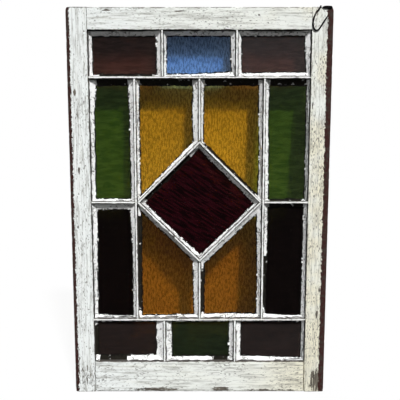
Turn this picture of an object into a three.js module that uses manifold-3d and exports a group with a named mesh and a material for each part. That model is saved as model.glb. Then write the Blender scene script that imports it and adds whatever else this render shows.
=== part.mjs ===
// A glazed wooden sash: four frame members, sixteen glazing bars, fifteen coloured panes bedded in
// putty, and a wire loop held by a metal strap at one corner. Millimetres, +Z up. The putty side
// faces -Y, and the origin is the middle of the sash's underside.
import * as THREE from 'three';
import Module from 'manifold-3d';
import { mergeVertices } from 'three/addons/utils/BufferGeometryUtils.js';

// Sash
const sashWidth = 610;
const sashHeight = 914;
const sashDepth = 35;
const stileWidth = 48.5;
const topRailHeight = 50;
const bottomRailHeight = 76.5;
const chamfer = 1;
const openJoint = 1.6; // the bottom rail's shoulders have drawn away from the stiles
const gap = 0.3;

// The moulded inner edge that every wooden member shares
const fillet = 5; // width of a glazing bar's front edge
const rebateDepth = 16; // from the front face to the step that the glass rests on
const rebateStep = 4; // how far that step stands out from the front edge
const moulding = { shoulder: 3.5, noseInset: 0.3, noseDepth: 2, segments: 5 };

// Centre lines of the glazing bars
const upperBarZ = 758;
const lowerBarZ = 182.8;
const crossbarZ = 468.5;
const shortUprightX = 85.6;
const longUprightX = 150.5;
const diamond = { halfWidth: 145, top: 609.8, bottom: 328.1 };

// Glazing
const glassThickness = 3;
const glassClearance = 0.8;
const puttyLip = 0.6; // thickness of a bead's thin edge on the glass
const puttyTop = 1.5; // how far behind the front face a bead starts
const puttyResidue = 2.4; // height of the bedding left where the putty has fallen out
const wornEdge = 0.006; // share of a side over which the height drops

// Corner hardware
const strap = { left: 279, right: 301, thickness: 2, flap: 5, reach: 24 };
const wireRadius = 1.5;

const front = -sashDepth / 2;
const back = sashDepth / 2;
const seat = front + rebateDepth;
const glassFront = seat - gap - glassThickness;
const beadBack = glassFront - gap;
const innerX = sashWidth / 2 - stileWidth;
const topRailZ = sashHeight - topRailHeight;
const overrun = 15; // how far a member runs into its neighbour before it is scribed to it

const wasm = await Module();
wasm.setup();

const paint = new THREE.MeshStandardMaterial({ color: 0xdcdcd2, roughness: 0.75, metalness: 0 });
const putty = new THREE.MeshStandardMaterial({ color: 0xe2e0d8, roughness: 0.85, metalness: 0 });
const iron = new THREE.MeshStandardMaterial({ color: 0x2b2b2d, roughness: 0.6, metalness: 0.8 });
const stained = (color) => new THREE.MeshStandardMaterial({ color, roughness: 0.12, metalness: 0 });
const ruby = stained(0x4a1c1c);
const blue = stained(0x2f5aa8);
const green = stained(0x2f5a10);
const amber = stained(0xa8700f);
const darkRuby = stained(0x160a0c);
const maroon = stained(0x3a0610);

const sash = new THREE.Group();

function addPiece(name, geometry, material) {
  const mesh = new THREE.Mesh(geometry, material);
  mesh.name = name;
  sash.add(mesh);
}

function toSolid(geometry) {
  const bare = geometry.clone();
  bare.deleteAttribute('normal');
  bare.deleteAttribute('uv');
  const merged = mergeVertices(bare, 1e-4);
  return new wasm.Manifold(new wasm.Mesh({
    numProp: 3,
    vertProperties: new Float32Array(merged.attributes.position.array),
    triVerts: new Uint32Array(merged.index.array),
  }));
}

function toGeometry(solid) {
  const mesh = solid.getMesh();
  const geometry = new THREE.BufferGeometry();
  geometry.setAttribute('position', new THREE.BufferAttribute(mesh.vertProperties, 3));
  geometry.setIndex(new THREE.BufferAttribute(mesh.triVerts, 1));
  geometry.computeVertexNormals();
  return geometry;
}

// The moulded edge from the front face to the back face, as [distance out from the edge line, y].
// grow swells it on every side, to cut a neighbour that is scribed over it.
function mouldedEdge(grow) {
  const points = [[grow, front - grow], [grow, seat - grow], [rebateStep + grow, seat - grow]];
  const curveFront = seat + moulding.shoulder;
  const curveBack = back - moulding.noseDepth;
  for (let i = 0; i <= moulding.segments; i += 1) {
    const angle = (i / moulding.segments) * (Math.PI / 2);
    const out = (rebateStep + moulding.noseInset) * Math.cos(angle) - moulding.noseInset;
    points.push([out + grow, curveFront + (curveBack - curveFront) * Math.sin(angle)]);
  }
  points.push([grow - moulding.noseInset, back + grow]);
  return points;
}

function barSection(grow) {
  const edge = mouldedEdge(grow).map(([out, y]) => [out + fillet / 2, y]);
  const otherEdge = edge.map(([across, y]) => [-across, y]).reverse();
  return edge.concat(otherEdge);
}

function frameSection(width, grow) {
  return mouldedEdge(grow).concat([
    [-width + chamfer, back + grow],
    [-width, back + grow - chamfer],
    [-width, front - grow + chamfer],
    [-width + chamfer, front - grow],
  ]);
}

// Sweeps a section of [across, y] points between two [x, z] points. Seen from the front, positive
// across is to the right of the direction of travel.
function sweep(section, from, to) {
  const shape = new THREE.Shape(section.map(([across, y]) => new THREE.Vector2(across, y)));
  const along = new THREE.Vector3(to[0] - from[0], 0, to[1] - from[1]);
  const geometry = new THREE.ExtrudeGeometry(shape, { depth: along.length(), bevelEnabled: false });
  along.normalize();
  const across = new THREE.Vector3(along.z, 0, -along.x);
  const placing = new THREE.Matrix4().makeBasis(across, new THREE.Vector3(0, 1, 0), along);
  placing.setPosition(from[0], 0, from[1]);
  return geometry.applyMatrix4(placing);
}

function lengthened(from, to, extra) {
  const run = Math.hypot(to[0] - from[0], to[1] - from[1]);
  const step = [(to[0] - from[0]) * (extra / run), (to[1] - from[1]) * (extra / run)];
  return [[from[0] - step[0], from[1] - step[1]], [to[0] + step[0], to[1] + step[1]]];
}

// A member is a section swept along a line. Its neighbours are cut back by the same sweep, swollen.
function member(makeSection, from, to) {
  return { solid: (grow = 0) => toSolid(sweep(makeSection(grow), from, to)) };
}

const bar = (from, to) => member(barSection, from, to);
const frameMember = (width, from, to) => member((grow) => frameSection(width, grow), from, to);

function addMember(name, piece, neighbours, clearance = gap, keepWithin = null) {
  let solid = piece.solid();
  if (keepWithin) {
    solid = solid.intersect(toSolid(keepWithin));
  }
  for (const neighbour of neighbours) {
    solid = solid.subtract(neighbour.solid(clearance));
  }
  addPiece(name, toGeometry(solid), paint);
}

function boxBetween(low, high) {
  const size = high.map((value, i) => value - low[i]);
  const middle = high.map((value, i) => (value + low[i]) / 2);
  return new THREE.BoxGeometry(...size).translate(...middle);
}

// Frame and glazing bars

const reach = innerX + overrun;
const stileLeft = frameMember(stileWidth, [-innerX, 0], [-innerX, sashHeight]);
const stileRight = frameMember(stileWidth, [innerX, sashHeight], [innerX, 0]);
const railTop = frameMember(topRailHeight, [-reach, topRailZ], [reach, topRailZ]);
const railBottom = frameMember(bottomRailHeight, [reach, bottomRailHeight], [-reach, bottomRailHeight]);
const stiles = [stileLeft, stileRight];
addMember('stile_left', stileLeft, []);
addMember('stile_right', stileRight, []);
addMember('rail_top', railTop, stiles);
addMember('rail_bottom', railBottom, stiles, openJoint);

const barUpper = bar([-reach, upperBarZ], [reach, upperBarZ]);
const barLower = bar([-reach, lowerBarZ], [reach, lowerBarZ]);
addMember('bar_upper', barUpper, stiles);
addMember('bar_lower', barLower, stiles);

const longUprights = {};
for (const [side, sign] of [['left', -1], ['right', 1]]) {
  const shortX = sign * shortUprightX;
  const longX = sign * longUprightX;
  const stile = sign < 0 ? stileLeft : stileRight;
  const topUpright = bar([shortX, upperBarZ], [shortX, topRailZ + overrun]);
  const bottomUpright = bar([shortX, bottomRailHeight - overrun], [shortX, lowerBarZ]);
  const crossbarEnds = [longX, sign * reach].sort((a, b) => a - b);
  const crossbar = bar([crossbarEnds[0], crossbarZ], [crossbarEnds[1], crossbarZ]);
  longUprights[side] = bar([longX, lowerBarZ], [longX, upperBarZ]);
  addMember(`upright_top_${side}`, topUpright, [barUpper, railTop]);
  addMember(`upright_bottom_${side}`, bottomUpright, [barLower, railBottom]);
  addMember(`upright_long_${side}`, longUprights[side], [barUpper, barLower]);
  addMember(`crossbar_${side}`, crossbar, [stile, longUprights[side]]);
}

// The four diamond bars meet each other in mitres and are scribed to the long uprights.
const diamondBars = {};
for (const [level, tip] of [['upper', diamond.top], ['lower', diamond.bottom]]) {
  for (const [side, sign] of [['left', -1], ['right', 1]]) {
    const [from, to] = lengthened([sign * diamond.halfWidth, crossbarZ], [0, tip], overrun);
    const piece = bar(from, to);
    const upward = Math.sign(tip - crossbarZ);
    const corners = [
      [sign * (gap / 2), crossbarZ + upward * (gap / 2)],
      [sign * longUprightX, tip + upward * overrun],
    ];
    const keep = boxBetween(
      [Math.min(corners[0][0], corners[1][0]), front - 1, Math.min(corners[0][1], corners[1][1])],
      [Math.max(corners[0][0], corners[1][0]), back + 1, Math.max(corners[0][1], corners[1][1])],
    );
    diamondBars[`${level}_${side}`] = piece;
    addMember(`diamond_bar_${level}_${side}`, piece, [longUprights[side]], gap, keep);
  }
}
for (const [level, tip, outerBar, outerZ] of [
  ['upper', diamond.top - 1, barUpper, upperBarZ],
  ['lower', diamond.bottom + 1, barLower, lowerBarZ],
]) {
  const upright = bar([0, Math.min(tip, outerZ)], [0, Math.max(tip, outerZ)]);
  const neighbours = [outerBar, diamondBars[`${level}_left`], diamondBars[`${level}_right`]];
  addMember(`upright_centre_${level}`, upright, neighbours);
}

// Glass and putty

// An opening is bounded by straight edges, listed anticlockwise from the bottom as seen from the
// front. Each edge is a point and a direction of travel, with the opening on its left.
const edge = (point, direction) => ({ point, direction });
const rightward = (z) => edge([0, z], [1, 0]);
const leftward = (z) => edge([0, z], [-1, 0]);
const upward = (x) => edge([x, 0], [0, 1]);
const downward = (x) => edge([x, 0], [0, -1]);

function leftNormal({ direction: [dx, dz] }) {
  const length = Math.hypot(dx, dz);
  return [-dz / length, dx / length];
}

function moved(line, distance) {
  const normal = leftNormal(line);
  const point = [line.point[0] + normal[0] * distance, line.point[1] + normal[1] * distance];
  return edge(point, line.direction);
}

function meet(a, b) {
  const [ax, az] = a.direction;
  const [bx, bz] = b.direction;
  const across = [b.point[0] - a.point[0], b.point[1] - a.point[1]];
  const t = (across[0] * bz - across[1] * bx) / (ax * bz - az * bx);
  return [a.point[0] + ax * t, a.point[1] + az * t];
}

// Corner i is where edge i begins.
function corners(edges, distances) {
  const lines = edges.map((line, i) => moved(line, distances[i]));
  return lines.map((line, i) => meet(lines[(i + lines.length - 1) % lines.length], line));
}

function glassPane(edges) {
  const outline = corners(edges, edges.map(() => glassClearance));
  const shape = new THREE.Shape(outline.map(([x, z]) => new THREE.Vector2(x, z)));
  const geometry = new THREE.ExtrudeGeometry(shape, { depth: glassThickness, bevelEnabled: false });
  return geometry.rotateX(Math.PI / 2).translate(0, glassFront + glassThickness, 0);
}

// A bead of putty: a closed ring with a sloping face. Each side gives its widths on the glass at
// evenly spaced stations, and it is lower on its worn stretch, where the putty has fallen out.
function puttyBead(edges, sides) {
  const outer = corners(edges, edges.map(() => gap));
  const inner = outer.map((_, i) => beadCorner(edges, sides, i));
  const stations = edges.flatMap((line, i) => {
    const next = (i + 1) % edges.length;
    const before = sides[(i + sides.length - 1) % sides.length];
    const corner = { outer: outer[i], inner: inner[i], worn: isWorn(sides[i], 0) && isWorn(before, 1) };
    return [corner, ...sideStations(line, sides[i], outer[i], inner[i], inner[next])];
  });
  return ringGeometry(stations.map((station) => [
    [station.outer, station.worn ? beadBack - puttyResidue : front + puttyTop],
    [station.inner, beadBack - puttyLip],
    [station.inner, beadBack],
    [station.outer, beadBack],
  ]));
}

function isWorn(side, t) {
  return side.worn !== undefined && t >= side.worn[0] && t <= side.worn[1];
}

// Where the thin edges of side i and of the side before it meet.
function beadCorner(edges, sides, i) {
  const last = (i + sides.length - 1) % sides.length;
  const distances = edges.map(() => 0);
  distances[i] = sides[i].widths[0] + gap;
  distances[last] = sides[last].widths[sides[last].widths.length - 1] + gap;
  return corners(edges, distances)[i];
}

// The stations between two corners, at t from 0 to 1 between the corners' inner points.
function sideStations(line, side, start, innerStart, innerEnd) {
  const length = Math.hypot(...line.direction);
  const unit = line.direction.map((value) => value / length);
  const normal = leftNormal(line);
  const distanceTo = (point) => unit[0] * (point[0] - start[0]) + unit[1] * (point[1] - start[1]);
  const [first, final] = [distanceTo(innerStart), distanceTo(innerEnd)];
  const spans = side.widths.length - 1;
  const marks = side.widths.slice(1, -1).map((_, k) => (k + 1) / spans);
  for (const limit of (side.worn ?? []).filter((t) => t > 0 && t < 1)) {
    marks.push(limit - wornEdge, limit + wornEdge);
  }
  return marks.sort((a, b) => a - b).map((t) => {
    const k = Math.min(Math.floor(t * spans), spans - 1);
    const width = side.widths[k] + (side.widths[k + 1] - side.widths[k]) * (t * spans - k);
    const distance = first + (final - first) * t;
    const place = [start[0] + unit[0] * distance, start[1] + unit[1] * distance];
    const reached = [place[0] + normal[0] * width, place[1] + normal[1] * width];
    return { outer: place, inner: reached, worn: isWorn(side, t) };
  });
}

// Joins equal closed sections, each a list of [[x, z], y] points, into one closed ring.
function ringGeometry(sections) {
  const size = sections[0].length;
  const positions = sections.flat().flatMap(([[x, z], y]) => [x, y, z]);
  const index = [];
  for (let i = 0; i < sections.length; i += 1) {
    for (let k = 0; k < size; k += 1) {
      const here = i * size;
      const there = ((i + 1) % sections.length) * size;
      const up = (k + 1) % size;
      index.push(here + k, there + k, there + up, here + k, there + up, here + up);
    }
  }
  const geometry = new THREE.BufferGeometry();
  geometry.setAttribute('position', new THREE.Float32BufferAttribute(positions, 3));
  geometry.setIndex(index);
  geometry.computeVertexNormals();
  return geometry;
}

const half = fillet / 2;
const slope = (from, to) => moved(edge(from, [to[0] - from[0], to[1] - from[1]]), half);
const diamondLeft = [-diamond.halfWidth, crossbarZ];
const diamondRight = [diamond.halfWidth, crossbarZ];
const diamondTop = [0, diamond.top];
const diamondBottom = [0, diamond.bottom];

const rectangle = (x0, x1, z0, z1) => [rightward(z0), upward(x1), leftward(z1), downward(x0)];
const topRow = (x0, x1) => rectangle(x0, x1, upperBarZ + half, topRailZ);
const bottomRow = (x0, x1) => rectangle(x0, x1, bottomRailHeight, lowerBarZ - half);
const sideUpper = (x0, x1) => rectangle(x0, x1, crossbarZ + half, upperBarZ - half);
const sideLower = (x0, x1) => rectangle(x0, x1, lowerBarZ + half, crossbarZ - half);

const full = (...widths) => ({ widths });
const worn = (from, to, ...widths) => ({ widths, worn: [from, to] });

// name, glass, edges of the opening, putty on each of those edges in the same order
const panes = [
  ['top_left', ruby, topRow(-innerX, -shortUprightX - half),
    [worn(0.1, 0.93, 5, 5), full(10.5, 10.5, 11), full(10, 10.5), full(7, 7)]],
  ['top_centre', blue, topRow(-shortUprightX + half, shortUprightX - half),
    [full(5.5, 6, 8, 10.5), full(7, 9.5, 10.5), full(9.5, 9.5), full(5.5, 5.5)]],
  ['top_right', ruby, topRow(shortUprightX + half, innerX),
    [full(8.5, 9.5, 10), full(7, 10.5, 12), full(8.5, 10), full(7.5, 8.5)]],
  ['side_upper_left', green, sideUpper(-innerX, -longUprightX - half),
    [full(3.5, 4.5, 4), full(8.5, 9, 10, 12), worn(0.03, 0.97, 12, 12), full(14, 8.5, 8, 8, 8)]],
  ['side_upper_right', green, sideUpper(longUprightX + half, innerX),
    [worn(0.05, 0.9, 3, 3), full(5, 5), worn(0.03, 0.97, 12, 12), full(8.5, 8, 9, 10)]],
  ['side_lower_left', darkRuby, sideLower(-innerX, -longUprightX - half),
    [full(6.5, 3.5, 2.5), full(8.5, 7.5, 8, 12.5), full(13.5, 14), full(10.5, 9, 7, 7)]],
  ['side_lower_right', darkRuby, sideLower(longUprightX + half, innerX),
    [full(8, 4, 3), full(8, 7, 6.5, 6.5), worn(0.03, 0.97, 8, 8), worn(0.45, 0.95, 9.5, 9, 6.5, 6)]],
  ['amber_upper_left', amber,
    [slope(diamondLeft, diamondTop), upward(-half),
      leftward(upperBarZ - half), downward(-longUprightX + half)],
    [full(3.5, 5, 6, 7.5, 8.5), full(11, 13.5, 12.5, 11.5), worn(0.02, 0.98, 12, 12), full(6, 5, 5.5, 6)]],
  ['amber_upper_right', amber,
    [slope(diamondTop, diamondRight), upward(longUprightX - half),
      leftward(upperBarZ - half), downward(half)],
    [worn(0.03, 0.95, 3, 3), full(8, 5.5, 7.5, 8.5), worn(0.02, 0.98, 12, 12), full(6.5, 6, 5, 5)]],
  ['amber_lower_left', amber,
    [rightward(lowerBarZ + half), upward(-half),
      slope(diamondBottom, diamondLeft), downward(-longUprightX + half)],
    [full(3, 3.5, 4.5, 6.5), full(9, 11, 11.5, 12), full(8.5, 8.5), worn(0.05, 0.95, 6.5, 6.5)]],
  ['amber_lower_right', amber,
    [rightward(lowerBarZ + half), upward(longUprightX - half),
      slope(diamondRight, diamondBottom), downward(half)],
    [full(6.5, 9, 7), full(8, 7, 8.5, 10), full(11, 10, 11), worn(0.1, 0.95, 7, 7)]],
  ['diamond', maroon,
    [slope(diamondBottom, diamondRight), slope(diamondRight, diamondTop),
      slope(diamondTop, diamondLeft), slope(diamondLeft, diamondBottom)],
    [full(4, 4.5, 3.5, 5), full(9.5, 9, 9, 8), worn(0.15, 0.95, 6, 6), full(4, 4.5, 4.5, 6.5)]],
  ['bottom_left', ruby, bottomRow(-innerX, -shortUprightX - half),
    [worn(0.03, 0.48, 10, 11, 11.5), full(17, 16.5), full(5, 5), worn(0.1, 0.97, 6, 6)]],
  ['bottom_centre', green, bottomRow(-shortUprightX + half, shortUprightX - half),
    [worn(0.71, 0.97, 8, 8.5, 8), full(9.5, 9.5), full(5, 5), full(13.5, 13.5)]],
  ['bottom_right', ruby, bottomRow(shortUprightX + half, innerX),
    [full(9.5, 8, 6, 4), full(6, 6), full(5, 5), full(12, 12)]],
];
for (const [name, glass, edges, sides] of panes) {
  addPiece(`pane_${name}`, glassPane(edges), glass);
  addPiece(`putty_${name}`, puttyBead(edges, sides), putty);
}

// Corner hardware

// The strap lies on the sash's top edge and folds down over its front.
function strapGeometry() {
  const top = sashHeight + gap;
  const face = front - gap;
  const section = new THREE.Shape([
    new THREE.Vector2(face - strap.thickness, top - strap.flap),
    new THREE.Vector2(face, top - strap.flap),
    new THREE.Vector2(face, top),
    new THREE.Vector2(face + strap.reach, top),
    new THREE.Vector2(face + strap.reach, top + strap.thickness),
    new THREE.Vector2(face - strap.thickness / 2, top + strap.thickness),
    new THREE.Vector2(face - strap.thickness, top + strap.thickness / 2),
  ]);
  const width = strap.right - strap.left;
  const geometry = new THREE.ExtrudeGeometry(section, { depth: width, bevelEnabled: false });
  const placing = new THREE.Matrix4().makeBasis(
    new THREE.Vector3(0, 1, 0),
    new THREE.Vector3(0, 0, 1),
    new THREE.Vector3(1, 0, 0),
  );
  return geometry.applyMatrix4(placing.setPosition(strap.left, 0, 0));
}

// The wire leaves the strap's end, bends over the top edge and hangs in an open loop whose free
// end points back up.
function wireGeometry() {
  const y = front - gap - wireRadius;
  const top = sashHeight + gap + wireRadius;
  const route = new THREE.CatmullRomCurve3([
    new THREE.Vector3(strap.left - 2 * gap, front + 8, top),
    new THREE.Vector3(strap.left - 2.5, front + 7.5, top),
    new THREE.Vector3(strap.left - 4.5, front - wireRadius, sashHeight + wireRadius),
    new THREE.Vector3(strap.left - 7, y, sashHeight - 4),
    new THREE.Vector3(265, y, 902),
    new THREE.Vector3(260, y, 891),
    new THREE.Vector3(258, y, 878),
    new THREE.Vector3(260, y, 866.5),
    new THREE.Vector3(265, y, 861.5),
    new THREE.Vector3(270.5, y, 864),
    new THREE.Vector3(278.5, y, 875.5),
    new THREE.Vector3(289.5, y, 892),
  ], false, 'centripetal');
  const section = new THREE.Shape();
  section.absarc(0, 0, wireRadius, 0, Math.PI * 2);
  return new THREE.ExtrudeGeometry(section, { steps: 36, curveSegments: 4, extrudePath: route });
}

addPiece('corner_strap', strapGeometry(), iron);
addPiece('corner_wire', wireGeometry(), iron);

export default sash;
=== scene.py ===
# Looks of an old painted window sash, glazed from the front with coloured glass in putty.
import math

import bmesh
import bpy
import numpy as np
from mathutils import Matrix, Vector, noise
from mathutils.kdtree import KDTree


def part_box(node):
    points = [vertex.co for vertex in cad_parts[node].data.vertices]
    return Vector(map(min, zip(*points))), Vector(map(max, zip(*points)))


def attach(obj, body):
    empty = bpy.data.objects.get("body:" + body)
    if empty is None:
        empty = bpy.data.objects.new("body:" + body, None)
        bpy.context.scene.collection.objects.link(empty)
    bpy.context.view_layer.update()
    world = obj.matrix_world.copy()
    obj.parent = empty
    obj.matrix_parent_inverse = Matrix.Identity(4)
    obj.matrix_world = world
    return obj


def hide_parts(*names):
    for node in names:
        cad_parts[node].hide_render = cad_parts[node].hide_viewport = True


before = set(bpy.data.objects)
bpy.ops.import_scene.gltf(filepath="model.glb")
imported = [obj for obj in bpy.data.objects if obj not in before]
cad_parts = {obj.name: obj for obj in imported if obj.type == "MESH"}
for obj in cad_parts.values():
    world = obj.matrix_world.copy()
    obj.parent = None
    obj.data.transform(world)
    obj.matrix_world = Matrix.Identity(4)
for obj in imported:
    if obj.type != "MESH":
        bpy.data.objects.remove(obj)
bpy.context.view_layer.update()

nodeNames = sorted(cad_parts)
sash = {
    "right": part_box("stile_right")[1].x,
    "front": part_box("stile_left")[0].y,
    "back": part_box("stile_left")[1].y,
    "height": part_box("stile_left")[1].z,
    "glass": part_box("pane_diamond")[0].y,
    "glazedHalf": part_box("putty_top_right")[1].x,
    "glazedLow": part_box("putty_bottom_left")[0].z,
    "glazedHigh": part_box("putty_top_left")[1].z,
}
paneNames = [name[len("pane_"):] for name in nodeNames if name.startswith("pane_")]
woodKinds = ("stile", "rail", "bar", "upright", "crossbar", "diamond_bar")
woodNames = [name for name in nodeNames if name.startswith(woodKinds)]
print(f"frame loaded: {len(woodNames)} wooden members, {len(paneNames)} panes")

# Camera and light

viewpoint = {"x": 0.001, "distance": 0.9415, "height": 0.558, "tiltDown": 5.07, "lens": 36}
lighting = {
    "towardKey": (0.45, -1.0, 1.17),
    "keyStrength": 4.2,
    "keySize": 5.0,  # degrees across, so that shadows soften with distance
    "sky": 0.02,  # strength of the plain sky light
    "fillStrength": 0.58,
    "towardFill": (-1.0, -1.0, 0.3),
    "fillSize": 110,
    "backStrength": 0.9,
    "towardBack": (-0.7, 1.0, 0.9),
    "backSize": 60,
    "backdrop": 1.0,
}
studio = {
    "floorSize": 40,
    "floorTone": (0.05, 0.05, 0.05),
    "floorGlow": 0.94,
    "backdropRadius": 16,
    "unevenness": 0.985,  # how dark the plain tones get where they are darkest
}
card = {
    "width": 1.3,
    "rise": 1.1,  # the card's height over the sash's
    "tilt": 5.0,
    "clearance": 0.0005,
    "tone": (0.86, 0.855, 0.84),
}


class Value:
    # A node's output socket. The operators below add Math nodes, so masks read as sums.
    def __init__(self, finish, socket):
        self.finish = finish
        self.socket = socket

    def math(self, operation, *others):
        sockets = dict(enumerate((self, *others)))
        return self.finish.add("ShaderNodeMath", {"operation": operation}, sockets)

    def __add__(self, other):
        return self.math("ADD", other)

    __radd__ = __add__

    def __sub__(self, other):
        return self.math("SUBTRACT", other)

    def __rsub__(self, other):
        return self.finish.add("ShaderNodeMath", {"operation": "SUBTRACT"}, {0: other, 1: self})

    def __mul__(self, other):
        return self.math("MULTIPLY", other)

    __rmul__ = __mul__

    def __abs__(self):
        return self.math("ABSOLUTE")

    def __or__(self, other):
        return self.math("MAXIMUM", other)

    def __and__(self, other):
        return self.math("MINIMUM", other)


class Finish:
    # A material in the making. add() makes any node: type, settings, then what its sockets take.
    def __init__(self, name):
        self.material = bpy.data.materials.new(name)
        self.material.use_nodes = True
        self.material.node_tree.nodes.clear()
        self.place = self.add("ShaderNodeTexCoord", output="Object")
        self.x, self.y, self.z = self.parts(self.place)

    def add(self, kind, settings=None, sockets=None, output=0):
        node = self.material.node_tree.nodes.new(kind)
        for name, value in (settings or {}).items():
            setattr(node, name, value)
        for name, value in (sockets or {}).items():
            if isinstance(value, Value):
                self.material.node_tree.links.new(value.socket, node.inputs[name])
            else:
                node.inputs[name].default_value = value
        return Value(self, node.outputs[output]) if node.outputs else None

    def parts(self, vector):
        split = self.add("ShaderNodeSeparateXYZ", sockets={0: vector}).socket.node
        return [Value(self, socket) for socket in split.outputs]

    def vector(self, operation, *values, output=0):
        return self.add("ShaderNodeVectorMath", {"operation": operation}, dict(enumerate(values)), output)

    def noise(self, frequency, detail=3.0, roughness=0.55, seed=0.0, on=None):
        # frequency is in cycles a metre, one number or one for each axis
        stretch = frequency if isinstance(frequency, tuple) else (frequency,) * 3
        scaled = self.vector("MULTIPLY", on or self.place, stretch)
        shifted = self.vector("ADD", scaled, (seed * 7.3, seed * 3.1, seed * 5.7))
        sockets = {"Vector": shifted, "Scale": 1.0, "Detail": detail, "Roughness": roughness}
        return self.add("ShaderNodeTexNoise", sockets=sockets)

    def step(self, value, low, high):
        # 0 below low, 1 above high, smooth between them
        sockets = {"Value": value, "From Min": low, "From Max": high}
        return self.add("ShaderNodeMapRange", {"interpolation_type": "SMOOTHSTEP"}, sockets)

    def mix(self, mask, first, second):
        colours = [c if isinstance(c, Value) else (*c, 1) for c in (first, second)]
        return self.add("ShaderNodeMix", {"data_type": "RGBA"}, {0: mask, 6: colours[0], 7: colours[1]}, 2)

    def bump(self, height, distance):
        return self.add("ShaderNodeBump", sockets={"Height": height, "Distance": distance})

    def principled(self, **sockets):
        named = {name.replace("_", " "): value for name, value in sockets.items()}
        for name, value in named.items():
            if isinstance(value, tuple) and len(value) == 3:
                named[name] = (*value, 1)
        return self.add("ShaderNodeBsdfPrincipled", sockets=named)

    def output(self, surface):
        self.add("ShaderNodeOutputMaterial", sockets={"Surface": surface})
        return self.material


# Studio

def newObject(name, bm):
    mesh = bpy.data.meshes.new(name)
    bm.to_mesh(mesh)
    bm.free()
    obj = bpy.data.objects.new(name, mesh)
    bpy.context.scene.collection.objects.link(obj)
    return obj


def addCamera():
    camera = bpy.data.objects.new("camera", bpy.data.cameras.new("camera"))
    camera.data.lens = viewpoint["lens"]
    camera.location = (viewpoint["x"], sash["front"] - viewpoint["distance"], viewpoint["height"])
    camera.rotation_euler = (math.radians(90 - viewpoint["tiltDown"]), 0, 0)
    bpy.context.scene.collection.objects.link(camera)
    bpy.context.scene.camera = camera


def addSun(name, toward, strength, size):
    lamp = bpy.data.lights.new(name, "SUN")
    lamp.energy = strength
    lamp.angle = math.radians(size)
    light = bpy.data.objects.new(name, lamp)
    light.rotation_euler = Vector(toward).to_track_quat("Z", "Y").to_euler()
    light.visible_glossy = False
    bpy.context.scene.collection.objects.link(light)
    return light


def addLights(sheet):
    # The soft lights leave the card behind the glass in shadow.
    addSun("key", lighting["towardKey"], lighting["keyStrength"], lighting["keySize"])
    fill = addSun("fill", lighting["towardFill"], lighting["fillStrength"], lighting["fillSize"])
    back = addSun("back", lighting["towardBack"], lighting["backStrength"], lighting["backSize"])
    unfilled = bpy.data.collections.new("unfilled")
    unfilled.objects.link(sheet)
    unfilled.collection_objects[0].light_linking.link_state = "EXCLUDE"
    for light in (fill, back):
        light.light_linking.receiver_collection = unfilled


def addSky():
    world = bpy.data.worlds.new("sky")
    world.use_nodes = True
    background = world.node_tree.nodes["Background"]
    background.inputs["Color"].default_value = (1, 1, 1, 1)
    background.inputs["Strength"].default_value = lighting["sky"]
    bpy.context.scene.world = world


def flatFinish(name, tone, glow=0.0):
    # The glow is for what is seen, also through glass. It lights nothing and has no reflection.
    f = Finish(name)
    grain = f.noise(3.0, detail=2)
    bounces = f.add("ShaderNodeLightPath", output="Diffuse Depth")
    bounces = bounces + f.add("ShaderNodeLightPath", output="Glossy Depth")
    bounce = f.step(bounces, 0.4, 0.6)
    return f.output(f.principled(
        Base_Color=f.mix(grain, tuple(studio["unevenness"] * part for part in tone), tone),
        Roughness=0.9,
        Specular_IOR_Level=0.0,
        Emission_Color=f.mix(bounce, (1.0, 1.0, 1.0), (0.0, 0.0, 0.0)),
        Emission_Strength=glow))


def addFloor():
    bm = bmesh.new()
    bmesh.ops.create_grid(bm, x_segments=8, y_segments=8, size=studio["floorSize"] / 2)
    floor = newObject("floor", bm)
    floor.data.materials.append(flatFinish("floor", studio["floorTone"], studio["floorGlow"]))
    floor.visible_glossy = floor.visible_diffuse = False


def addBackdrop():
    # A wide white dome, seen directly and through the glass.
    bm = bmesh.new()
    bmesh.ops.create_uvsphere(bm, u_segments=32, v_segments=16, radius=studio["backdropRadius"])
    dome = newObject("backdrop", bm)
    dome.data.materials.append(flatFinish("backdrop", (0.0, 0.0, 0.0), lighting["backdrop"]))
    dome.visible_diffuse = dome.visible_glossy = dome.visible_shadow = False


def addCard():
    # A white card leans behind the glass and takes the bars' shadows. Only the glass shows it.
    lean = math.tan(math.radians(card["tilt"]))
    headBack = sash["back"] + card["clearance"]
    half = card["width"] / 2
    bm = bmesh.new()
    top = sash["height"] * card["rise"]
    corners = [(-half, 0), (half, 0), (half, top), (-half, top)]
    verts = [bm.verts.new((x, headBack + lean * (sash["height"] - z), z)) for x, z in corners]
    bm.faces.new(verts)
    sheet = newObject("reflectorCard", bm)
    sheet.data.materials.append(flatFinish("reflectorCard", card["tone"]))
    sheet.visible_camera = sheet.visible_diffuse = sheet.visible_glossy = sheet.visible_shadow = False
    return sheet


def setColours():
    bpy.context.scene.view_settings.view_transform = "Standard"
    bpy.context.scene.view_settings.look = "None"


addCamera()
addSky()
addFloor()
addBackdrop()
addLights(addCard())
setColours()
print("studio ready")

# Mesh tools

weldDistance = 1e-5
flatAngle = 0.002  # faces that meet at less than this many radians count as one


def cleanMesh(nodeName):
    # A CAD piece's mesh with its corners joined, still coarse.
    bm = bmesh.new()
    bm.from_mesh(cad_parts[nodeName].data)
    bmesh.ops.remove_doubles(bm, verts=bm.verts, dist=weldDistance)
    bmesh.ops.triangulate(bm, faces=bm.faces)
    return bm


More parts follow.
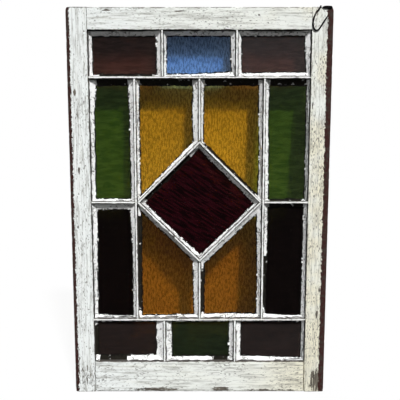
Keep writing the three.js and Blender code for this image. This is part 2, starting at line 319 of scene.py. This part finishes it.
def sliced(bm, step, directions):
    # Cuts the mesh across each direction into slices no thicker than step. Gives points and triangles.
    bmesh.ops.dissolve_limit(bm, angle_limit=flatAngle, verts=bm.verts, edges=bm.edges)
    for direction in map(Vector, directions):
        places = [v.co.dot(direction) for v in bm.verts]
        low, high = min(places), max(places)
        count = math.ceil((high - low) / step)
        for number in range(1, count):
            cut = direction * (low + (high - low) * number / count)
            everything = bm.verts[:] + bm.edges[:] + bm.faces[:]
            bmesh.ops.bisect_plane(bm, geom=everything, plane_co=cut, plane_no=direction, dist=1e-6)
    bmesh.ops.triangulate(bm, faces=bm.faces)
    points = np.array([v.co for v in bm.verts])
    triangles = np.array([[v.index for v in f.verts] for f in bm.faces])
    bm.free()
    return points, triangles


def meshOf(name, points, triangles):
    mesh = bpy.data.meshes.new(name)
    mesh.from_pydata(points, [], triangles)
    mesh.update()
    obj = bpy.data.objects.new(name, mesh)
    bpy.context.scene.collection.objects.link(obj)
    return obj


def normalsAt(points, triangles):
    # The mean normal at each point, weighted by area.
    a, b, c = points[triangles.T]
    faces = np.cross(b - a, c - a)
    normals = np.zeros_like(points)
    for corner in triangles.T:
        np.add.at(normals, corner, faces)
    return normals / np.linalg.norm(normals, axis=1)[:, None]


def dress(piece, nodeName, material, sharpAngle=38):
    piece.data.materials.append(material)
    piece.data.shade_smooth()
    piece.data.set_sharp_from_angle(angle=math.radians(sharpAngle))
    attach(piece, "root")
    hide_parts(nodeName)


def smoothStep(value, low, high):
    t = np.clip((value - low) / (high - low), 0, 1)
    return t * t * (3 - 2 * t)


def noiseAt(points, frequency, seed=0.0):
    # Smooth noise from about -1 to 1. frequency is in cycles a metre.
    shift = np.array([17.3, 5.9, 11.1]) * (seed + 1)
    return np.array([noise.noise(p) for p in (points * frequency + shift)])


# Painted wood

wood = {
    "step": 0.0030,
    "waviness": 0.00022,  # how far old coats of paint stand in and out
    "waveFrequency": 38,
    "arrisReach": 0.0026,  # the arrises are the long sharp edges of the front face
    "arrisWear": 0.0011,
    "arrisRounding": 0.00025,
    "chipFrequency": 120,
    "dentFrequency": 24,  # the chips run deeper in some stretches than in others
    "cornerReach": 0.012,
    "cornerWear": 0.003,
    "cornerFrequency": 90,
    "sharpTurn": 0.3,  # radians between faces from which an edge counts as sharp
}
paint = {
    "cool": (0.91, 0.945, 0.93),
    "plain": (0.89, 0.915, 0.865),
    "cream": (0.87, 0.835, 0.67),
    "bar": (0.97, 0.98, 0.965),
    "grime": (0.22, 0.21, 0.18),
    "bareWood": (0.20, 0.18, 0.145),
    # dark bare wood, also the colour of the painted shade in the rebates
    "darkWoodAndShade": (0.055, 0.045, 0.038),
    "maroon": (0.048, 0.017, 0.015),
    "roughness": 0.62,
    "bareRoughness": 0.82,
    "fibres": (18, 230, 230),  # frequencies along the grain, across it and through it
    "brushMarks": (7, 90, 90),
    "specks": (150, 420, 420),
    "flaking": (60, 260, 260),
    "frontDepth": (0.0008, 0.0030),  # between these depths the wear of the front face ends
    "barHalf": (0.004, 0.006),  # half widths that tell the glazing bars from the frame
    "arrisWidth": 0.0016,
    "arrisRagged": 0.004,
    "leftStrip": 0.0080,  # widths of the dark strips along the stiles' outer edges
    "rightStrip": 0.0135,
    "stripRagged": 0.012,
    "rimWidth": 0.0022,  # bare wood along the sash's top and bottom ends
    "rimRagged": 0.009,
    "edge": 0.0008,  # how far the painted shade in the rebates keeps from the edges of the front face
    "relief": 0.0004,
}
# Worn places on the front: x, height, half width, half height, how much of it is bare
wornPlaces = [
    (-0.289, 0.724, 0.004, 0.011, 1.0),
    (-0.284, 0.672, 0.008, 0.020, 0.5),
    (-0.283, 0.546, 0.012, 0.014, 0.6),
    (-0.289, 0.410, 0.002, 0.006, 0.9),
    (-0.276, 0.035, 0.028, 0.055, 0.42),
    (-0.298, 0.070, 0.008, 0.080, 0.6),
    (0.284, 0.197, 0.004, 0.014, 0.8),
    (0.288, 0.256, 0.003, 0.010, 0.7),
    (0.283, 0.026, 0.020, 0.040, 0.78),
    (0.298, 0.060, 0.006, 0.070, 0.8),
    (0.262, 0.676, 0.003, 0.065, 0.5),
    (-0.105, 0.006, 0.085, 0.006, 0.8),
    (0.050, 0.007, 0.036, 0.008, 0.7),
    (0.170, 0.004, 0.100, 0.004, 0.6),
    (-0.212, 0.907, 0.012, 0.003, 0.9),
    (-0.048, 0.904, 0.022, 0.003, 0.7),
    (-0.165, 0.911, 0.120, 0.003, 0.45),
    (0.135, 0.896, 0.004, 0.004, 0.8),
]


def memberAxes(bm):
    # A member runs along its longest sharp edge, and its front face gives its middle and half width.
    sharp = [e for e in bm.edges if e.calc_face_angle(0) > wood["sharpTurn"]]
    longest = max(sharp, key=lambda e: e.calc_length())
    along = (longest.verts[1].co - longest.verts[0].co).normalized()
    across = along.cross(Vector((0, 1, 0)))
    front = [v.co.dot(across) for v in bm.verts if v.co.y < sash["front"] + weldDistance]
    middle = (min(front) + max(front)) / 2
    return np.array(along), np.array(across), middle, (max(front) - min(front)) / 2


def dressMember(name, material):
    bm = cleanMesh(name)
    along, across, middle, half = memberAxes(bm)
    points, triangles = sliced(bm, wood["step"], (across, (0, 1, 0), along))
    normals = normalsAt(points, triangles)
    offset = points @ across - middle
    fromArris = np.hypot(np.maximum(half - np.abs(offset), 0), points[:, 1] - sash["front"])
    nearArris = np.clip(1 - fromArris / wood["arrisReach"], 0, 1)
    chips = smoothStep(noiseAt(points, wood["chipFrequency"], seed=2), 0.12, 0.55)
    dents = smoothStep(noiseAt(points, wood["dentFrequency"], seed=3), 0.1, 0.5)
    toSide = sash["right"] - np.abs(points[:, 0])
    toEnd = np.minimum(points[:, 2], sash["height"] - points[:, 2])
    nearCorner = np.clip(1 - np.hypot(toSide, toEnd) / wood["cornerReach"], 0, 1)
    corner = nearCorner * (0.6 + noiseAt(points, wood["cornerFrequency"], seed=5))
    inward = wood["waviness"] * (0.5 - noiseAt(points, wood["waveFrequency"]))
    inward += nearArris * (wood["arrisRounding"] + wood["arrisWear"] * chips * (0.35 + dents))
    inward += np.clip(corner, 0, 1) ** 2 * wood["cornerWear"]
    piece = meshOf(f"painted_{name}", points - normals * inward[:, None], triangles)
    dress(piece, name, material)
    grain = piece.data.attributes.new("grain", "FLOAT_VECTOR", "POINT")
    layout = np.stack([points @ along, offset, np.full(len(points), half)], axis=1)
    grain.data.foreach_set("vector", layout.astype(np.float32).ravel())


def paintFinish():
    f = Finish("oldPaint")
    grain = f.add("ShaderNodeAttribute", {"attribute_name": "grain"}, output="Vector")
    offset, half = f.parts(grain)[1:]
    onFront = 1 - f.step(f.y, *(sash["front"] + depth for depth in paint["frontDepth"]))
    onBar = 1 - f.step(half, *paint["barHalf"])

    fibres = f.noise(paint["fibres"], detail=5, roughness=0.68, on=grain, seed=1)
    brush = f.noise(paint["brushMarks"], detail=3, on=grain, seed=2)
    clouds = f.noise(11, detail=3, seed=3)
    specks = f.noise(paint["specks"], detail=3, roughness=0.55, on=grain, seed=4)
    patches = f.noise(48, detail=5, roughness=0.6, seed=5)
    fine = f.noise(900, detail=2, seed=6)
    ragged = f.noise(190, detail=4, roughness=0.65, seed=7)
    flaking = f.noise(paint["flaking"], detail=5, roughness=0.72, on=grain, seed=8)

    # The paint: cool on the left, creamy on the right, whiter on the bars, streaked with grime
    cream = f.step(f.x, 0.05, 0.3) * f.step(clouds + (0.9 - f.z) * 0.25, 0.42, 0.72)
    cool = 1 - f.step(f.x, -0.28, 0.0)
    white = f.mix(cream, f.mix(cool, paint["plain"], paint["cool"]), paint["cream"])
    white = f.mix(onBar * 0.9, white, paint["bar"])
    streaks = f.step(fibres, 0.44, 0.68) * (0.58 - onBar * 0.38)
    white = f.mix(streaks, white, paint["grime"])
    white = f.mix(f.step(brush, 0.5, 0.75) * 0.12, white, paint["cream"])

    # Bare wood: along the arrises, in flecks that follow the grain and in the worn places
    toArris = half - abs(offset)
    toArris = toArris + (ragged - 0.5) * paint["arrisRagged"]
    arris = (1 - f.step(toArris, 0.0, paint["arrisWidth"])) * onFront
    arrisChips = arris * f.step(patches + (ragged - 0.5) * 0.5, 0.42, 0.50)
    flecks = f.step(specks + (clouds - 0.5) * 0.3 + f.step(f.x, 0.22, 0.28) * 0.03, 0.60, 0.66)
    worn = None
    for x, z, halfWidth, halfHeight, share in wornPlaces:
        fromMiddle = f.vector("SUBTRACT", f.place, (x, sash["front"], z))
        place = f.vector("DIVIDE", fromMiddle, (halfWidth, 1, halfHeight))
        reach = f.vector("LENGTH", place, output="Value")
        spot = (1 - f.step(reach, 0.2, 1.3)) * share
        worn = spot if worn is None else worn | spot
    wornBare = f.step(flaking + worn * 0.45, 0.72, 0.76) * onFront
    chipped = f.step(patches + ragged * 0.25, 0.84, 0.86)
    bare = arrisChips | flecks * 0.75 | wornBare | chipped

    # The outer edges of the stiles kept an older dark red coat
    inFromSide = sash["right"] - abs(f.x)
    stripWidth = paint["leftStrip"] + f.step(f.x, -0.1, 0.1) * (paint["rightStrip"] - paint["leftStrip"])
    inFromSide = inFromSide + (ragged - 0.5) * paint["stripRagged"]
    strip = 1 - f.step(inFromSide - stripWidth, -0.0005, 0.0005)
    strip = strip & f.step(ragged * 0.6 + fibres * 0.6, 0.30, 0.38)
    toEnd = (f.z & (sash["height"] - f.z)) + (ragged - 0.5) * paint["rimRagged"]
    rim = (1 - f.step(toEnd, 0.0004, paint["rimWidth"])) * f.step(patches, 0.40, 0.50) * onFront

    # Painted shade darkens the rebates, down the sides of each front edge
    edge = paint["edge"]
    inOpening = f.step(sash["glazedHalf"] + edge - abs(f.x), 0.0, edge * 0.25)
    inOpening = inOpening & f.step(f.z, sash["glazedLow"] - edge, sash["glazedLow"] - edge * 0.75)
    inOpening = inOpening & (1 - f.step(f.z, sash["glazedHigh"] + edge * 0.75, sash["glazedHigh"] + edge))
    behindFront = f.step(f.y, sash["front"] + edge * 0.5, sash["front"] + edge * 1.5)
    rebateShade = inOpening * behindFront * (1 - f.step(f.y, sash["glass"], sash["glass"] + 0.002))

    woodTone = f.mix(f.step(fibres, 0.35, 0.65), paint["darkWoodAndShade"], paint["bareWood"])
    colour = f.mix(bare, white, woodTone)
    redCoat = f.mix(f.step(ragged, 0.45, 0.6), paint["maroon"], paint["darkWoodAndShade"])
    redCoat = f.mix(f.step(flaking + patches * 0.5, 0.78, 0.84) * (1 - onFront), redCoat, woodTone)
    colour = f.mix(strip, colour, redCoat)
    colour = f.mix(rim * 0.9, colour, paint["darkWoodAndShade"])
    # painted shade on the rebates' sides in front of the glass
    colour = f.mix(rebateShade * 0.95, colour, paint["darkWoodAndShade"])
    height = (1 - (bare | strip)) + fibres * 0.5 + fine * 0.08 + brush * 0.2
    surface = f.principled(
        Base_Color=colour,
        Roughness=paint["roughness"] + bare * (paint["bareRoughness"] - paint["roughness"]),
        Specular_IOR_Level=0.35,
        Normal=f.bump(height, paint["relief"]))
    return f.output(surface)


oldPaint = paintFinish()
for woodName in woodNames:
    dressMember(woodName, oldPaint)
print("wooden members painted")

# Putty

putty = {
    "step": 0.0020,
    "edgeRagged": 0.0013,  # how far the thin edge wanders over the glass
    "lumps": 0.0006,
    "smear": 0.00025,
    "slump": 0.28,  # the share of its height that the putty has lost
    "gap": 0.0026,  # how far it has shrunk from the wood
    "shrunk": 0.0010,
    "edgeLineWidth": 0.0030,  # how far the thin edge runs out over the glass as a low ramp, coloured near-black
    "edgeLineHeight": 0.0009,
    "lip": 0.0006,
    "residue": 0.0024,  # height of what is left where the putty has fallen out
    "fallenMargin": (0.0002, 0.0012),  # heights over the residue between which the bead is whole again
    "thinHeight": (0.0006, 0.004),  # heights over which the thin edge becomes the bead
    "looseHeight": (0.001, 0.004),  # heights over which the bead comes away from the wood
    "wanderFrequencies": (70, 230),
    "lumpFrequencies": (110, 420),
    "smearFrequency": 700,
    "gapFrequency": 60,
    "edgeLineFrequency": 120,
    "steep": 0.3,  # a face counts as upright if it looks this little to the front or back
    "relief": 0.0006,
    "tone": (0.97, 0.975, 0.965),
    "shadeTone": (0.62, 0.61, 0.56),
    "crackTone": (0.10, 0.095, 0.08),
    # near black: the dark bare bed where the putty has fallen, with painted shade on it and on the faces
    # against the wood
    "bedAndShadeTone": (0.020, 0.018, 0.014),
    "edgeLineTone": (0.010, 0.009, 0.008),
}


def pushed(points, triangles, facing, chosen):
    # At each corner of the chosen faces, the level direction in which they look.
    away = np.zeros_like(points)
    np.add.at(away, triangles[chosen].ravel(), np.repeat(facing[chosen] * (1, 0, 1), 3, axis=0))
    length = np.linalg.norm(away, axis=1)
    return away / np.maximum(length, 1e-9)[:, None], length > 0


def beadHeights(points, height, rim):
    # The height that the bead reaches at the wood nearest to each point.
    tree = KDTree(int(rim.sum()))
    for index in np.flatnonzero(rim):
        tree.insert(points[index] * (1, 0, 1), int(index))
    tree.balance()
    return height[[tree.find(point)[1] for point in points * (1, 0, 1)]]


def dressPutty(name, material):
    nodeName = f"putty_{name}"
    low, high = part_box(f"pane_{name}")
    centre = np.array((low + high) / 2)
    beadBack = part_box(nodeName)[1].y
    points, triangles = sliced(cleanMesh(nodeName), putty["step"], np.eye(3))
    normals = normalsAt(points, triangles)
    corners = points[triangles]
    facing = np.cross(corners[:, 1] - corners[:, 0], corners[:, 2] - corners[:, 0])
    facing /= np.maximum(np.linalg.norm(facing, axis=1), 1e-12)[:, None]
    outward = (facing * (corners.mean(axis=1) - centre)).sum(axis=1)
    upright = np.abs(facing[:, 1]) < putty["steep"]
    onWood = upright & (outward > 0)
    onEdge = upright & (outward < 0)
    toWood, besideWood = pushed(points, triangles, facing, onWood)
    toGlass, besideGlass = pushed(points, triangles, facing, onEdge)
    height = beadBack - points[:, 1]
    onSlope = normals[:, 1] < -0.2
    beadHeight = beadHeights(points, height, besideWood & onSlope)
    fallen = 1 - smoothStep(beadHeight - putty["residue"], *putty["fallenMargin"])

    # Lumps and a wandering thin edge, on a bead that has sunk and shrunk from the wood
    thin = 1 - smoothStep(height, *putty["thinHeight"])
    level = points * (1, 0, 1)
    wide, narrow = putty["wanderFrequencies"]
    wander = noiseAt(level, wide, seed=1) + 0.6 * noiseAt(level, narrow, seed=2)
    coarse, fine = putty["lumpFrequencies"]
    lumps = noiseAt(points, coarse, seed=3) + 0.4 * noiseAt(points, fine, seed=4)
    amount = thin * putty["edgeRagged"] * wander + (1 - thin) * putty["lumps"] * lumps
    amount += putty["smear"] * noiseAt(points, putty["smearFrequency"], seed=6)
    amount[besideWood] = 0
    moved = points + normals * amount[:, None]
    moved[:, 1] += height * putty["slump"]
    loose = smoothStep(height, *putty["looseHeight"]) * (1 - fallen)
    uneven = np.clip(0.75 + 1.2 * noiseAt(points, putty["gapFrequency"], seed=7), 0.1, 1.6)
    gap = putty["gap"] * uneven * loose
    moved -= toWood * gap[:, None]
    moved[:, 1] += putty["shrunk"] * loose * besideWood

    # A low ramp out over the glass along the thin edge, coloured near-black in the finish
    reach = putty["edgeLineWidth"] * (0.9 + 0.7 * noiseAt(points, putty["edgeLineFrequency"], seed=8))
    reach *= (height < putty["lip"] / 3) & besideGlass
    moved += toGlass * reach[:, None]
    moved[:, 1] = np.minimum(moved[:, 1], beadBack)
    piece = meshOf(f"glazing_{nodeName}", moved, triangles)
    dress(piece, nodeName, material, sharpAngle=60)
    bare = piece.data.attributes.new("fallen", "FLOAT", "POINT")
    bare.data.foreach_set("value", fallen.astype(np.float32))
    # The faces against the wood are marked for painted shade in the finish.
    grooveShade = piece.data.attributes.new("grooveShade", "FLOAT", "FACE")
    grooveShade.data.foreach_set("value", onWood.astype(np.float32))


def puttyFinish():
    f = Finish("oldPutty")
    lumps = f.noise(140, detail=4, seed=11)
    fine = f.noise(650, detail=3, seed=12)
    clouds = f.noise(24, detail=3, seed=13)
    cells = {"Vector": f.vector("MULTIPLY", f.place, (1, 0.3, 1)), "Scale": 85.0, "Randomness": 1.0}
    crack = f.add("ShaderNodeTexVoronoi", {"feature": "DISTANCE_TO_EDGE"}, cells)
    cracks = (1 - f.step(crack + (fine - 0.5) * 0.05, 0.012, 0.04)) * f.step(clouds, 0.47, 0.58)
    flaked = f.step(lumps + fine * 0.3, 0.76, 0.80)
    grooveShade = f.add("ShaderNodeAttribute", {"attribute_name": "grooveShade"}, output="Fac")
    fallen = f.add("ShaderNodeAttribute", {"attribute_name": "fallen"}, output="Fac")
    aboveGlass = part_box("putty_diamond")[1].y - f.y
    wanders = (lumps - 0.5) * putty["edgeLineHeight"]
    # a near-black line along the thin edge, where it lies lowest on the glass
    edgeLine = 1 - f.step(aboveGlass + wanders, putty["edgeLineHeight"] * 0.45, putty["edgeLineHeight"] * 0.75)
    remnants = f.step(f.noise(75, detail=4, seed=14), 0.62, 0.66)
    # Where the putty has fallen the bare bed is dark, and it is painted nearly black as painted shade as
    # well.
    bareBedAndShade = f.step(fallen, 0.4, 0.6) * (1 - remnants * 0.7)
    colour = f.mix(f.step(clouds, 0.45, 0.75) * 0.25, putty["tone"], putty["shadeTone"])
    colour = f.mix((cracks | flaked) * 0.85, colour, putty["crackTone"])
    # painted shade on the faces against the wood and on the fallen bed
    colour = f.mix(grooveShade | bareBedAndShade, colour, putty["bedAndShadeTone"])
    colour = f.mix(edgeLine, colour, putty["edgeLineTone"])
    height = lumps * 0.6 + fine * 0.35 - (cracks | flaked)
    surface = f.principled(
        Base_Color=colour, Roughness=0.8, Specular_IOR_Level=0.1, Normal=f.bump(height, putty["relief"]))
    return f.output(surface)


oldPutty = puttyFinish()
for paneName in paneNames:
    dressPutty(paneName, oldPutty)
print("putty laid")

# Glass: what two passes of light through a pane leave of each colour. Dark glass lets almost
# nothing through and has a tone of its own.
glasses = {
    "ruby": {"passes": (0.022, 0.0056, 0.0034)},
    "blue": {"passes": (0.042, 0.120, 0.345)},
    "green": {"passes": (0.072, 0.170, 0.0020), "body": (0.0170, 0.0290, 0.0120)},
    "amber": {"passes": (0.278, 0.126, 0.0030)},
    "deep_amber": {"passes": (0.166, 0.049, 0.0014)},
    "dark_ruby": {"passes": (0.0012, 0.0004, 0.0004), "body": (0.0042, 0.0020, 0.0016)},
    "dim_ruby": {"passes": (0.0080, 0.0020, 0.0012), "body": (0.0250, 0.0170, 0.0150)},
    "dim_green": {"passes": (0.0050, 0.0160, 0.0016), "body": (0.0180, 0.0260, 0.0130)},
    "maroon": {"passes": (0.0020, 0.0002, 0.0003), "body": (0.0340, 0.0025, 0.0062)},
}
# shade: how much darker the troughs are than the crests, partly thicker glass and partly painted glints
textures = {
    "hammered": {"frequency": (290, 1, 95), "detail": 2, "depth": 0.0002, "shade": 0.40},
    "rippled": {"frequency": (26, 1, 210), "detail": 1, "depth": 0.0004, "shade": 0.8},
    "reamy": {"frequency": (30, 1, 110), "detail": 3, "depth": 0.00015, "shade": 0.3},
}
# Each pane's glass, texture and share of dust
paneLooks = {
    "top_left": ("ruby", "reamy", 0.012),
    "top_centre": ("blue", "hammered", 0.014),
    "top_right": ("ruby", "reamy", 0.040),
    "side_upper_left": ("green", "reamy", 0.001),
    "side_upper_right": ("green", "reamy", 0.004),
    "side_lower_left": ("dark_ruby", "reamy", 0.0006),
    "side_lower_right": ("dark_ruby", "reamy", 0.0020),
    "amber_upper_left": ("amber", "hammered", 0.003),
    "amber_upper_right": ("amber", "hammered", 0.003),
    "amber_lower_left": ("deep_amber", "hammered", 0.002),
    "amber_lower_right": ("deep_amber", "hammered", 0.003),
    "diamond": ("maroon", "rippled", 0.0010),
    "bottom_left": ("dim_ruby", "reamy", 0.006),
    "bottom_centre": ("dim_green", "reamy", 0.002),
    "bottom_right": ("dim_ruby", "reamy", 0.012),
}
pane = {
    "step": 0.02,
    "dustTone": (0.50, 0.50, 0.52),
    "rippleTurn": -32,  # degrees, so that the diamond's ripples run down to the right
    "seenShare": 0.4,  # how much of the colour the eye's pass takes, the light's pass taking the rest
    "strongShare": 0.3,  # the same for the blue and the green
    "bodyShare": 0.5,  # how much of dark glass shows its own tone
}


def glassFinish(name, glassName, textureName, dustShare):
    f = Finish(f"glass_{name}")
    glass = glasses[glassName]
    seenShare = pane["strongShare" if glassName in ("green", "blue") else "seenShare"]
    seen = tuple(part ** seenShare for part in glass["passes"])
    lit = tuple(part ** ((1 - seenShare) / 2) for part in glass["passes"])  # at each of the two faces
    texture = textures[textureName]
    turn = math.radians(pane["rippleTurn"]) if textureName == "rippled" else 0
    laid = f.add("ShaderNodeMapping", sockets={"Vector": f.place, "Rotation": (0, turn, 0)})
    relief = f.noise(texture["frequency"], detail=texture["detail"], on=laid, seed=21)
    haze = f.noise(35, detail=4, seed=22)
    specks = f.step(f.noise(420, detail=1, seed=23), 0.80, 0.82)
    # The tint is lighter on the relief's crests, partly as thinner glass and partly as painted glints: the
    # light the ripples catch is painted into the colour.
    crestsAndGlints = f.step(relief, 0.40, 0.60)
    tint = f.mix(crestsAndGlints, tuple(part * (1 - texture["shade"]) for part in seen), seen)
    clear = f.principled(
        Base_Color=tint, Roughness=0.02, IOR=1.5, Transmission_Weight=1.0,
        Normal=f.bump(relief, texture["depth"]))
    if "body" in glass:
        dim = tuple(part * (1 - texture["shade"]) for part in glass["body"])
        deep = f.principled(
            Base_Color=f.mix(crestsAndGlints, dim, glass["body"]), Roughness=0.05, Specular_IOR_Level=0.5,
            Normal=f.bump(relief, texture["depth"]))
        clear = f.add("ShaderNodeMixShader", sockets={0: pane["bodyShare"], 1: clear, 2: deep})
    dust = f.principled(Base_Color=pane["dustTone"], Roughness=0.95, Specular_IOR_Level=0.05)
    amount = dustShare * (0.6 + haze * 0.8) + specks * 0.2
    front = f.add("ShaderNodeMixShader", sockets={0: amount, 1: clear, 2: dust})
    passing = f.add("ShaderNodeBsdfTransparent", sockets={"Color": (*lit, 1)})
    shadowRay = f.add("ShaderNodeLightPath", output="Is Shadow Ray")
    return f.output(f.add("ShaderNodeMixShader", sockets={0: shadowRay, 1: front, 2: passing}))


def dressPane(name):
    nodeName = f"pane_{name}"
    glassName, textureName, dustShare = paneLooks[name]
    piece = meshOf(f"glass_{name}", *sliced(cleanMesh(nodeName), pane["step"], np.eye(3)))
    dress(piece, nodeName, glassFinish(name, glassName, textureName, dustShare))


for paneName in paneNames:
    dressPane(paneName)
print("panes glazed")

# Corner strap and wire

iron = {
    "tone": (0.010, 0.010, 0.011),
    "rust": (0.045, 0.018, 0.010),
    "metallic": 0.35,
    "roughness": 0.6,
    "scale": 0.0004,  # thickness of the mill scale and rust on the bare metal
    "relief": 0.0003,
    "levels": 2,
}


def ironFinish():
    f = Finish("rustyIron")
    clouds = f.noise(130, detail=4, seed=31)
    fine = f.noise(900, detail=3, seed=32)
    rust = f.step(clouds, 0.52, 0.68)
    surface = f.principled(
        Base_Color=f.mix(rust, iron["tone"], iron["rust"]),
        Metallic=iron["metallic"] * (1 - rust),
        Roughness=iron["roughness"] + rust * 0.3,
        Normal=f.bump(clouds * 0.5 + fine * 0.5, iron["relief"]))
    return f.output(surface)


def dressIron(nodeName, name, material):
    piece = newObject(name, cleanMesh(nodeName))
    dress(piece, nodeName, material, sharpAngle=50)
    fuller = piece.modifiers.new("scale", "DISPLACE")
    fuller.strength = iron["scale"]
    fuller.mid_level = 0
    rounding = piece.modifiers.new("rounding", "SUBSURF")
    rounding.levels = rounding.render_levels = iron["levels"]


rustyIron = ironFinish()
dressIron("corner_wire", "hanging_wire", rustyIron)
dressIron("corner_strap", "hanging_strap", rustyIron)
print("strap and wire finished")
